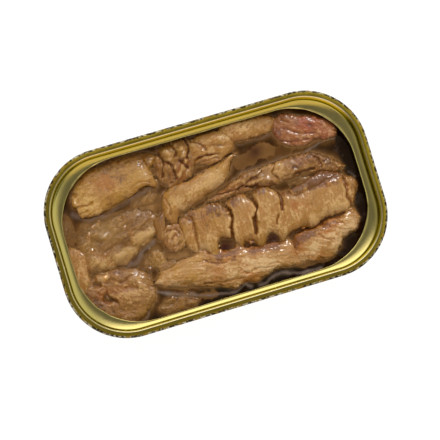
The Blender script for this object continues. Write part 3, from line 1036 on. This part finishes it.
fixed = np.broadcast_to(top_skin, (STATIONS,) + top_skin.shape)
step_in = (tear_depth - ledge_start)[:, None] * np.array([0.25, 0.5, 0.75, 0.92, 1.0])[None, :]
ledge_depth = ledge_start + step_in
LEDGE_SLOPE = 0.34
LEDGE_FALL = 0.55
burr = np.array([0, 0, 0.01, 0.05, 0.12])[None, :] * (1 + 0.5 * wobble[:, None] / 0.1)
ledge_fall = LEDGE_FALL * (1 - np.exp(-LEDGE_SLOPE * step_in / LEDGE_FALL))
ledge = np.stack([ledge_depth, ledge_high - ledge_fall + burr], -1)
under = ledge[:, ::-1] - np.array([0, 0.25])
inner_fall = np.array([[ledge_start, ledge_high - GAUGE],
                       [WALL_FOOT - GAUGE, LEDGE_TOP + LEDGE_CURVE],
                       [SEAM_IN - GAUGE, RIM_TOP - 0.6], [1.6, RIM_TOP - 0.5], [0.9, RIM_TOP - 0.5],
                       [0.32, RIM_TOP - 1.1], [0.3, 21.6], [0.6, 21.2], [0.9, 21.6]])
back = np.broadcast_to(inner_fall, (STATIONS,) + inner_fall.shape)
section = np.concatenate([fixed, ledge, under, back], 1)
plan = seam_points[:, None, :] - seam_normals[:, None, :] * section[..., 0][..., None]
lid_points = np.concatenate([plan, section[..., 1][..., None]], -1)
lid_quads = grid_quads(STATIONS, section.shape[1], True, True)[:, ::-1]
lid = mesh_object("torn_lid_rim", lid_points, lid_quads, None, {"inset": section[..., 0]})
print("lid rim", len(lid.data.polygons), "faces")

# %% [markdown]
# ## Shared effects
#
# A node group is a small machine that several materials use with their own
# values.  The first one makes cooked flesh: it blends a pale, a middle and a
# dark colour by the tone and crease painted on the mesh, and draws fine
# fibres along the direction that the material gives it.

# %% Node helpers
def put(tree, value, socket):
    """Give an input a number, a vector, a colour or the output of another node."""
    if isinstance(value, bpy.types.NodeSocket):
        tree.links.new(value, socket)
    else:
        socket.default_value = value


def new_group(name, inputs, outputs):
    """An empty shader group with named sockets: (name, type, default)."""
    group = bpy.data.node_groups.new(name, "ShaderNodeTree")
    for socket_name, kind, default in inputs:
        socket = group.interface.new_socket(socket_name, in_out="INPUT", socket_type=kind)
        if default is not None:
            socket.default_value = default
    for socket_name, kind in outputs:
        group.interface.new_socket(socket_name, in_out="OUTPUT", socket_type=kind)
    return group, group.nodes.new("NodeGroupInput"), group.nodes.new("NodeGroupOutput")


def math_node(tree, operation, first, second, clamp=False):
    """A Math node whose inputs are sockets or numbers."""
    node = tree.nodes.new("ShaderNodeMath")
    node.operation = operation
    node.use_clamp = clamp
    put(tree, first, node.inputs[0])
    put(tree, second, node.inputs[1])
    return node.outputs[0]


def times(tree, first, second):
    """first times second."""
    return math_node(tree, "MULTIPLY", first, second)


def swing(tree, value, size):
    """A noise made to swing round 0: size (value - 1/2)."""
    return times(tree, math_node(tree, "SUBTRACT", value, 0.5), size)


def vector_node(tree, operation, first, second):
    """A Vector Math node: a product part by part, or the dot product as a number."""
    node = tree.nodes.new("ShaderNodeVectorMath")
    node.operation = operation
    put(tree, first, node.inputs[0])
    put(tree, second, node.inputs[1])
    return node.outputs["Value" if operation == "DOT_PRODUCT" else "Vector"]


def mix_colour(tree, factor, first, second):
    """A colour Mix node: (1 - factor) first + factor second."""
    node = tree.nodes.new("ShaderNodeMix")
    node.data_type = "RGBA"
    put(tree, factor, node.inputs["Factor"])
    put(tree, first, node.inputs[6])
    put(tree, second, node.inputs[7])
    return node.outputs[2]


def noise_node(tree, vector, scale, detail=3.0, roughness=0.55, distortion=0.0):
    """A Noise Texture on a vector, giving its factor."""
    node = tree.nodes.new("ShaderNodeTexNoise")
    for socket, value in (("Vector", vector), ("Scale", scale), ("Detail", detail),
                          ("Roughness", roughness), ("Distortion", distortion)):
        put(tree, value, node.inputs[socket])
    return node.outputs["Fac"]


def remap(tree, value, low, high, to_low=0.0, to_high=1.0):
    """A smooth Map Range node; low may be the larger one."""
    node = tree.nodes.new("ShaderNodeMapRange")
    node.interpolation_type = "SMOOTHSTEP"
    for index, number in enumerate((value, low, high, to_low, to_high)):
        put(tree, number, node.inputs[index])
    return node.outputs[0]


def painted(tree, name):
    """The number painted on the mesh under a name."""
    reader = tree.nodes.new("ShaderNodeAttribute")
    reader.attribute_name = name
    return reader.outputs["Fac"]


print("node helpers ready")

# %% Material helpers
def new_material(name, values):
    """A material, its tree, its shader with some inputs set, and the place of each point."""
    material = bpy.data.materials.new(name)
    material.use_nodes = True
    tree = material.node_tree
    shader = tree.nodes["Principled BSDF"]
    for socket, value in values.items():
        shader.inputs[socket].default_value = value
    return material, tree, shader, tree.nodes.new("ShaderNodeTexCoord").outputs["Object"]


def add_group(tree, shader, effect, strength, distance):
    """Use a group for a shader's colour, its roughness and, through a bump, its relief."""
    group = tree.nodes.new("ShaderNodeGroup")
    group.node_tree = effect
    bump = tree.nodes.new("ShaderNodeBump")
    for value, socket in ((strength, bump.inputs["Strength"]), (distance, bump.inputs["Distance"]),
                          (group.outputs["Height"], bump.inputs["Height"]),
                          (bump.outputs[0], shader.inputs["Normal"]),
                          (group.outputs["Color"], shader.inputs["Base Color"]),
                          (group.outputs["Roughness"], shader.inputs["Roughness"])):
        put(tree, value, socket)
    return group


print("material helpers ready")

# %% Flesh group
COLOUR, NUMBER, VECTOR = "NodeSocketColor", "NodeSocketFloat", "NodeSocketVector"
GROUP_OUTPUTS = [("Color", COLOUR), ("Roughness", NUMBER), ("Height", NUMBER)]
flesh_group, flesh_in, flesh_out = new_group("cooked_flesh", [
    ("Pale", COLOUR, (0.56, 0.37, 0.19, 1)), ("Middle", COLOUR, (0.38, 0.2, 0.06, 1)),
    ("Dark", COLOUR, (0.13, 0.045, 0.012, 1)), ("Reddish", COLOUR, (0.36, 0.12, 0.04, 1)),
    ("Yellowish", COLOUR, (0.42, 0.24, 0.06, 1)), ("Tone", NUMBER, 0.0), ("Crease", NUMBER, 0.0),
    ("Red", NUMBER, 0.0), ("Soak", NUMBER, 0.0), ("Place", VECTOR, None),
    ("Fibre Place", VECTOR, None)], GROUP_OUTPUTS)
tree = flesh_group
given = flesh_in.outputs
fine = noise_node(tree, given["Fibre Place"], 1.0, 4.0, 0.6, 0.4)
patch = noise_node(tree, given["Place"], 380.0, 5.0, 0.62)
grit = noise_node(tree, given["Place"], 1150.0, 5.0, 0.68, 0.8)
tone = given["Tone"]
for texture, size in ((patch, 2.6), (fine, 2.4), (grit, 4.2)):
    tone = math_node(tree, "ADD", tone, swing(tree, texture, size))
hue = math_node(tree, "ADD", given["Red"], swing(tree, patch, 2.2))
colour = given["Middle"]
for value, start, stop, most, other in (
        (hue, 0.1, 1.4, 0.8, "Reddish"), (hue, -0.1, -1.1, 0.7, "Yellowish"),
        (tone, 0.0, 1.3, 1.0, "Pale"), (tone, -0.3, -1.8, 0.85, "Dark")):
    amount = times(tree, remap(tree, value, start, stop), most)
    colour = mix_colour(tree, amount, colour, given[other])
stain = mix_colour(tree, 0.45, given["Reddish"], given["Dark"])
colour = mix_colour(tree, times(tree, given["Soak"], 0.28), colour, stain)
crease = remap(tree, math_node(tree, "ADD", given["Crease"], swing(tree, grit, 0.7)), 0.1, 1.25)
inner = mix_colour(tree, crease, given["Reddish"], given["Dark"])
colour = mix_colour(tree, crease, colour, inner)
rough = math_node(tree, "SUBTRACT", remap(tree, grit, 0.3, 0.7, 0.30, 0.52),
                  times(tree, given["Soak"], 0.22))
height = math_node(tree, "ADD", times(tree, fine, 0.5), times(tree, grit, 0.7))
for index, value in enumerate((colour, rough, height)):
    put(tree, value, flesh_out.inputs[index])
print("group", flesh_group.name, len(tree.nodes), "nodes")

# %% [markdown]
# ## The flesh materials
#
# All the fish is one kind of flesh, but each piece has its own colours and
# its own fibre direction.  The fibre direction is a turn in a Mapping node,
# with a long scale along the fibres and a short one across them.

# %% Flesh materials
FIBRE_ALONG, FIBRE_ACROSS = 620.0, 1500.0
FLESH_LOOK = {"IOR": 1.4, "Coat Weight": 0.35, "Coat Roughness": 0.14, "Subsurface Weight": 0.15,
              "Subsurface Radius": (0.8, 0.35, 0.15), "Subsurface Scale": 0.001}


def flesh_material(name, colours, fibre_angle):
    """Wet cooked fish with fibres at an angle, in degrees from +X."""
    material, tree, shader, place = new_material(name, FLESH_LOOK)
    mapping = tree.nodes.new("ShaderNodeMapping")
    mapping.inputs["Rotation"].default_value = (0, 0, -math.radians(fibre_angle))
    put(tree, place, mapping.inputs["Vector"])
    group = add_group(tree, shader, flesh_group, 0.85, 0.0005)
    for socket, colour in zip(("Pale", "Middle", "Dark", "Reddish", "Yellowish"), colours):
        group.inputs[socket].default_value = (*colour, 1)
    for socket in ("Tone", "Crease", "Red", "Soak"):
        put(tree, painted(tree, socket.lower()), group.inputs[socket])
    put(tree, place, group.inputs["Place"])
    stretch = (FIBRE_ALONG, FIBRE_ACROSS, FIBRE_ALONG)
    put(tree, vector_node(tree, "MULTIPLY", mapping.outputs[0], stretch),
        group.inputs["Fibre Place"])
    return material


# pale, middle, dark, reddish, yellowish
TAN = ((0.58, 0.36, 0.145), (0.38, 0.185, 0.040), (0.115, 0.032, 0.004),
       (0.36, 0.12, 0.018), (0.42, 0.22, 0.028))
GOLDEN = ((0.56, 0.34, 0.115), (0.38, 0.185, 0.030), (0.12, 0.038, 0.004),
          (0.36, 0.13, 0.012), (0.42, 0.22, 0.022))
BROWN = ((0.50, 0.29, 0.105), (0.27, 0.122, 0.026), (0.080, 0.022, 0.003),
         (0.30, 0.095, 0.015), (0.33, 0.165, 0.026))
PINK = ((0.54, 0.29, 0.145), (0.31, 0.115, 0.034), (0.11, 0.026, 0.006),
        (0.32, 0.058, 0.018), (0.31, 0.15, 0.03))
PALE = ((0.64, 0.42, 0.21), (0.43, 0.22, 0.065), (0.14, 0.040, 0.006),
        (0.41, 0.15, 0.026), (0.46, 0.245, 0.04))
MURKY = ((0.48, 0.29, 0.10), (0.29, 0.142, 0.030), (0.10, 0.033, 0.005),
         (0.32, 0.11, 0.016), (0.28, 0.16, 0.032))
FLESH = {
    "loin_centre": (TAN, 84), "loin_centre_top": (TAN, 38), "loin_lower_left": (PALE, -12),
    "loin_lower_right": (PALE, -20), "loin_strip_right": (BROWN, 30),
    "loin_upper_left": (GOLDEN, 14), "fillet_top_middle": (TAN, 12), "fillet_top_edge": (TAN, 20),
    "flakes_top": (BROWN, 60), "fillet_pink": (PINK, -30), "slice_round": (BROWN, 40),
    "flake_wedge": (BROWN, 62), "chunk_lower_left": (BROWN, -30),
    "piece_left_middle": (MURKY, 20), "piece_left_edge": (TAN, 85),
    "piece_lower_edge": (MURKY, -15)}
for node, (colours, fibre_angle) in FLESH.items():
    piece = fish_objects[node]
    piece.data.materials.append(flesh_material(node + "_skin", colours, fibre_angle))
    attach(piece, "root")
    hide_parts(node)
sunk_skin = flesh_material("sunk_flesh", MURKY, 20)
for bit in bit_objects:
    bit.data.materials.append(sunk_skin)
    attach(bit, "root")
print("flesh materials", len(FLESH) + 1)

# %% [markdown]
# ## Broth material
#
# Broth is nearly clear in a thin film and almost black in a deep pool.  Its
# depth over the fish was stored on the mesh, and drives both its colour and
# how much it hides.  Grease lies on it in pale streaks, a little paler still
# where it is thickest.

# %% Broth material
def colour_ramp(tree, value, stops):
    """A Color Ramp node through (position, colour) stops."""
    node = tree.nodes.new("ShaderNodeValToRGB")
    elements = node.color_ramp.elements
    while len(elements) < len(stops):
        elements.new(0.5)
    for element, (position, colour) in zip(elements, stops):
        element.position = position
        element.color = (*colour, 1)
    tree.links.new(value, node.inputs[0])
    return node.outputs[0]


DEEPEST = 6.0
RAW_BOTTOM = (0.040, 0.009, 0.006, 1)
THIN_GREASE, THICK_GREASE = (0.24, 0.175, 0.15, 1), (0.46, 0.39, 0.36, 1)
broth_material, tree, shader, place = new_material("brown_broth", {"Roughness": 0.08, "IOR": 1.36})
cloudy = noise_node(tree, place, 330.0, 4.0, 0.6)
murk = math_node(tree, "ADD", painted(tree, "depth"), swing(tree, cloudy, 1.2))
murk = math_node(tree, "DIVIDE", murk, DEEPEST, clamp=True)
colour = colour_ramp(tree, murk, [
    (0.0, (0.36, 0.205, 0.088)), (0.10, (0.21, 0.105, 0.036)), (0.24, (0.115, 0.050, 0.013)),
    (0.42, (0.062, 0.026, 0.006)), (0.68, (0.026, 0.011, 0.0025)), (1.0, (0.012, 0.005, 0.0015))])
raw_colour = mix_colour(tree, painted(tree, "red"), colour, RAW_BOTTOM)
ragged_fat = math_node(tree, "ADD", painted(tree, "fat"), swing(tree, cloudy, 1.6))
greasy = times(tree, remap(tree, ragged_fat, 0.0, 1.3), 0.75)
greasy_colour = mix_colour(tree, remap(tree, ragged_fat, 0.85, 1.35), THIN_GREASE, THICK_GREASE)
put(tree, mix_colour(tree, greasy, raw_colour, greasy_colour), shader.inputs["Base Color"])
covering = remap(tree, painted(tree, "cover"), 0.0, 1.0, 0.18, 1.0)
put(tree, math_node(tree, "MAXIMUM", covering, times(tree, greasy, 0.8)), shader.inputs["Alpha"])
broth.data.materials.append(broth_material)
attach(broth, "root")
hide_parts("broth")

oil_material, tree, shader, place = new_material("clear_oil", {
    "Roughness": 0.16, "IOR": 1.47, "Transmission Weight": 1.0})
oil_colour = mix_colour(tree, noise_node(tree, place, 700.0), (0.98, 0.86, 0.62, 1),
                        (0.92, 0.76, 0.48, 1))
put(tree, oil_colour, shader.inputs["Base Color"])
drops.data.materials.append(oil_material)
drops.visible_shadow = False
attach(drops, "root")
print("materials", broth_material.name, oil_material.name)

# %% [markdown]
# ## Gold lacquer
#
# The tin is tinplate under a clear gold lacquer.  It is metal, so its colour
# is the colour of its reflections.  Small rubs and scratches break them up.
# The lid's outer edge carries the print, as dark, pale and gold flecks.

# %% Gold lacquer group
gold_group, gold_in, gold_out = new_group("gold_lacquer", [
    ("Place", VECTOR, None), ("Gold", COLOUR, (0.82, 0.60, 0.11, 1)),
    ("Worn", COLOUR, (0.88, 0.74, 0.36, 1))], GROUP_OUTPUTS)
tree = gold_group
given = gold_in.outputs
sheen = noise_node(tree, given["Place"], 180.0, 3.0)
rub = noise_node(tree, given["Place"], 1400.0, 4.0, 0.7)
worn = times(tree, remap(tree, rub, 0.56, 0.72), 0.5)
colour = mix_colour(tree, worn, given["Gold"], given["Worn"])
rough = remap(tree, sheen, 0.3, 0.7, 0.10, 0.2)
for index, value in enumerate((colour, rough, rub)):
    put(tree, value, gold_out.inputs[index])


def gold_material(name, gold):
    """Gold-lacquered tinplate, with its tree, its shader and the place of each point."""
    material, tree, shader, place = new_material(name, {
        "Metallic": 1.0, "Specular Tint": (0.72, 0.68, 0.32, 1)})
    group = add_group(tree, shader, gold_group, 0.15, 0.0001)
    group.inputs["Gold"].default_value = (*gold, 1)
    put(tree, place, group.inputs["Place"])
    return material, tree, shader, place


def print_over(tree, shader, lacquered, mask, ink, matt):
    """Lay ink over the lacquer where the mask is 1; the metal shows 1 - matt mask."""
    put(tree, mix_colour(tree, mask, lacquered, ink), shader.inputs["Base Color"])
    put(tree, math_node(tree, "SUBTRACT", 1.0, times(tree, mask, matt)), shader.inputs["Metallic"])


print("group", gold_group.name, len(gold_group.nodes), "nodes")

# %% Lid material
# from and to this far in from the tin's edge, in millimetres, and the tint from there on
LID_TINTS = [(1.60, 1.74, (1.0, 0.90, 0.52, 1)), (2.14, 2.24, (0.44, 0.40, 0.05, 1)),
             (2.72, 2.92, (0.88, 0.75, 0.29, 1))]
lid_gold, tree, shader, place = gold_material("lid_gold", (0.86, 0.64, 0.07))
inset = painted(tree, "inset")
flecks = noise_node(tree, place, 1100.0, 3.0, 0.7)
blots = noise_node(tree, place, 520.0, 2.0, 0.6)
mask = remap(tree, math_node(tree, "ADD", inset, swing(tree, flecks, 1.2)), 0.74, 0.56)
ink = mix_colour(tree, remap(tree, flecks, 0.49, 0.58), (0.026, 0.020, 0.011, 1),
                 (0.56, 0.52, 0.42, 1))
ink = mix_colour(tree, remap(tree, blots, 0.56, 0.60), ink, (0.26, 0.17, 0.03, 1))
lacquered = shader.inputs["Base Color"].links[0].from_socket
for start, stop, tint_there in LID_TINTS:
    lacquered = mix_colour(tree, remap(tree, inset, start, stop), lacquered, tint_there)
print_over(tree, shader, lacquered, mask, ink, 0.85)
lid.data.materials.append(lid_gold)
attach(lid, "root")
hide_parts("lid_ring")
print("lid tints", len(LID_TINTS))

# %% [markdown]
# ## The cup
#
# The cup is one drawn piece of the same sheet, gold inside and on its base.
# Its outer wall is printed: a cream field, an olive band at the foot and a
# thin brown line between them.  The outside is where the surface looks away
# from the tin's middle, so the dot product of the normal and the place picks
# it out.

# %% Cup material
FIELD_CREAM, FIELD_SHADE = (0.62, 0.56, 0.41, 1), (0.50, 0.43, 0.28, 1)
LINE_BROWN, BAND_OLIVE = (0.16, 0.085, 0.03, 1), (0.27, 0.21, 0.05, 1)
LINE_TOP, BAND_TOP = 0.0080, 0.0070
cup_gold, tree, shader, place = gold_material("cup_gold", (0.82, 0.62, 0.15))
flat_place = vector_node(tree, "MULTIPLY", place,
                         (1 / HALF_LENGTH * 1000, 1 / HALF_WIDTH * 1000, 0))
outward = vector_node(tree, "DOT_PRODUCT", flat_place,
                      tree.nodes.new("ShaderNodeNewGeometry").outputs["Normal"])
outside = remap(tree, outward, 0.25, 0.5)
split_place = tree.nodes.new("ShaderNodeSeparateXYZ")
put(tree, place, split_place.inputs[0])
above_floor = split_place.outputs["Z"]
height = math_node(tree, "ADD", above_floor, swing(tree, noise_node(tree, place, 60.0, 1.0), 0.002))
worn_print = noise_node(tree, place, 900.0, 4.0, 0.7)
field = mix_colour(tree, remap(tree, worn_print, 0.3, 0.8), FIELD_CREAM, FIELD_SHADE)
for top, ink in ((LINE_TOP, LINE_BROWN), (BAND_TOP, BAND_OLIVE)):
    field = mix_colour(tree, remap(tree, height, top + 0.0002, top - 0.0002), field, ink)
mask = times(tree, outside, remap(tree, above_floor, 0.0012, 0.0018))
print_over(tree, shader, shader.inputs["Base Color"].links[0].from_socket, mask, field, 0.9)
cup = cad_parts["can_body"]
cup.data.materials.clear()
cup.data.materials.append(cup_gold)
print("cup material", cup_gold.name)

# %% [markdown]
# ## Camera, floor and light
#
# The tin is seen almost from straight above, a little from its left end.  The
# floor is plain and pale.  One large soft lamp stands high behind the tin and
# gives the fish its shading.  Metal and broth mirror the sky instead, so the
# sky is painted with a few soft glows and dark places, as a room would give.
# A small lamp that only makes highlights shows that the fish is wet.

# %% Camera
VIEW_TURN = math.radians(-16.45)
AIM = Vector((0.00056, -0.00219, 0.021))
TOWARDS_CAMERA = Vector((-0.11, -0.05, 1.0)).normalized()
DISTANCE = 0.62
FIELD = 0.1381
right = Vector((math.cos(VIEW_TURN), math.sin(VIEW_TURN), 0))
right = (right - TOWARDS_CAMERA * right.dot(TOWARDS_CAMERA)).normalized()
up = TOWARDS_CAMERA.cross(right)
camera_data = bpy.data.cameras.new("camera")
camera_data.lens = camera_data.sensor_width * DISTANCE / FIELD
camera = bpy.data.objects.new("camera", camera_data)
camera.matrix_world = Matrix.Translation(AIM + TOWARDS_CAMERA * DISTANCE) @ Matrix(
    (right, up, TOWARDS_CAMERA)).transposed().to_4x4()
bpy.context.collection.objects.link(camera)
bpy.context.scene.camera = camera
print("camera lens %.0f mm" % camera_data.lens)

# %% Floor
FLOOR_HALF = 900
floor_corners = np.array([[-1, -1, 0], [1, -1, 0], [1, 1, 0], [-1, 1, 0]])
floor = mesh_object("floor", floor_corners * FLOOR_HALF, np.array([[0, 1, 2, 3]]))
floor_material = bpy.data.materials.new("pale_floor")
floor_material.use_nodes = True
tree = floor_material.node_tree
tree.nodes.remove(tree.nodes["Principled BSDF"])
diffuse = tree.nodes.new("ShaderNodeBsdfDiffuse")
diffuse.inputs["Color"].default_value = (0.8, 0.8, 0.8, 1)
glow = tree.nodes.new("ShaderNodeEmission")
glow.inputs["Strength"].default_value = 1.2
path = tree.nodes.new("ShaderNodeLightPath")
seen = math_node(tree, "ADD", path.outputs["Is Camera Ray"], path.outputs["Is Glossy Ray"])
seen = math_node(tree, "ADD", seen, path.outputs["Is Transmission Ray"], clamp=True)
mixer = tree.nodes.new("ShaderNodeMixShader")
for index, value in enumerate((times(tree, seen, 0.8), diffuse.outputs[0], glow.outputs[0])):
    put(tree, value, mixer.inputs[index])
put(tree, mixer.outputs[0], tree.nodes["Material Output"].inputs["Surface"])
floor.data.materials.append(floor_material)
print("floor", 2 * FLOOR_HALF, "mm wide")

# %% World
SKY_BELOW = (0.36, 0.35, 0.31, 1)
SKY_GLOWS = [
    # towards, cosine where it is full, cosine where it ends, colour
    ((0, 0, 1), 0.95, 0.5, (0.14, 0.135, 0.12, 1)),
    ((-1, 0, 0.3), 0.96, 0.82, (0.06, 0.06, 0.05, 1)),
    ((-0.35, -1, 0.15), 0.9, 0.6, (1.1, 0.92, 1.02, 1)),
    ((0.05, -0.6, 0.8), 0.97, 0.88, (0.62, 0.50, 0.24, 1)),
    ((0.1, 1, 0.9), 0.97, 0.78, (1.45, 1.37, 1.25, 1)),
    ((-0.7, 0.1, 0.8), 0.97, 0.86, (0.24, 0.23, 0.17, 1)),
    ((1, 0.1, 0.8), 0.93, 0.74, (0.54, 0.53, 0.40, 1)),
    ((0.62, -0.42, 0.8), 0.993, 0.972, (0.05, 0.07, 0.02, 1))]
world = bpy.data.worlds.new("studio")
world.use_nodes = True
bpy.context.scene.world = world
tree = world.node_tree
direction = tree.nodes.new("ShaderNodeTexCoord").outputs["Generated"]
sky = SKY_BELOW
for aim, full, end, tint in SKY_GLOWS:
    cosine = vector_node(tree, "DOT_PRODUCT", direction, Vector(aim).normalized())
    sky = mix_colour(tree, remap(tree, cosine, end, full), sky, tint)
put(tree, sky, tree.nodes["Background"].inputs["Color"])
tree.nodes["Background"].inputs["Strength"].default_value = 1.0
bpy.context.scene.view_settings.view_transform = "Standard"
print("sky glows", len(SKY_GLOWS))

# %% Lamps
LAMP_AIM = Vector((0, 0, 0.018))


def area_lamp(name, place, size, power, colour):
    """A soft square lamp at a place, in metres, that points at the tin."""
    data = bpy.data.lights.new(name, "AREA")
    data.shape = "RECTANGLE"
    data.size = data.size_y = size
    data.energy = power
    data.color = colour
    lamp = bpy.data.objects.new(name, data)
    turn = (LAMP_AIM - Vector(place)).to_track_quat("-Z", "Y")
    lamp.matrix_world = Matrix.Translation(Vector(place)) @ turn.to_matrix().to_4x4()
    bpy.context.collection.objects.link(lamp)
    return lamp


key = area_lamp("key", (0.12, 0.40, 0.62), 0.4, 3.4, (1.0, 0.96, 0.9))
key.visible_glossy = False
glint = area_lamp("glint", (0.34, 0.40, 0.52), 0.1, 4.4, (1.0, 0.98, 0.95))
glint.visible_diffuse = False
wet_things = bpy.data.collections.new("wet things")
for wet in [*fish_objects.values(), *bit_objects, broth, drops]:
    wet_things.objects.link(wet)
glint.light_linking.receiver_collection = wet_things
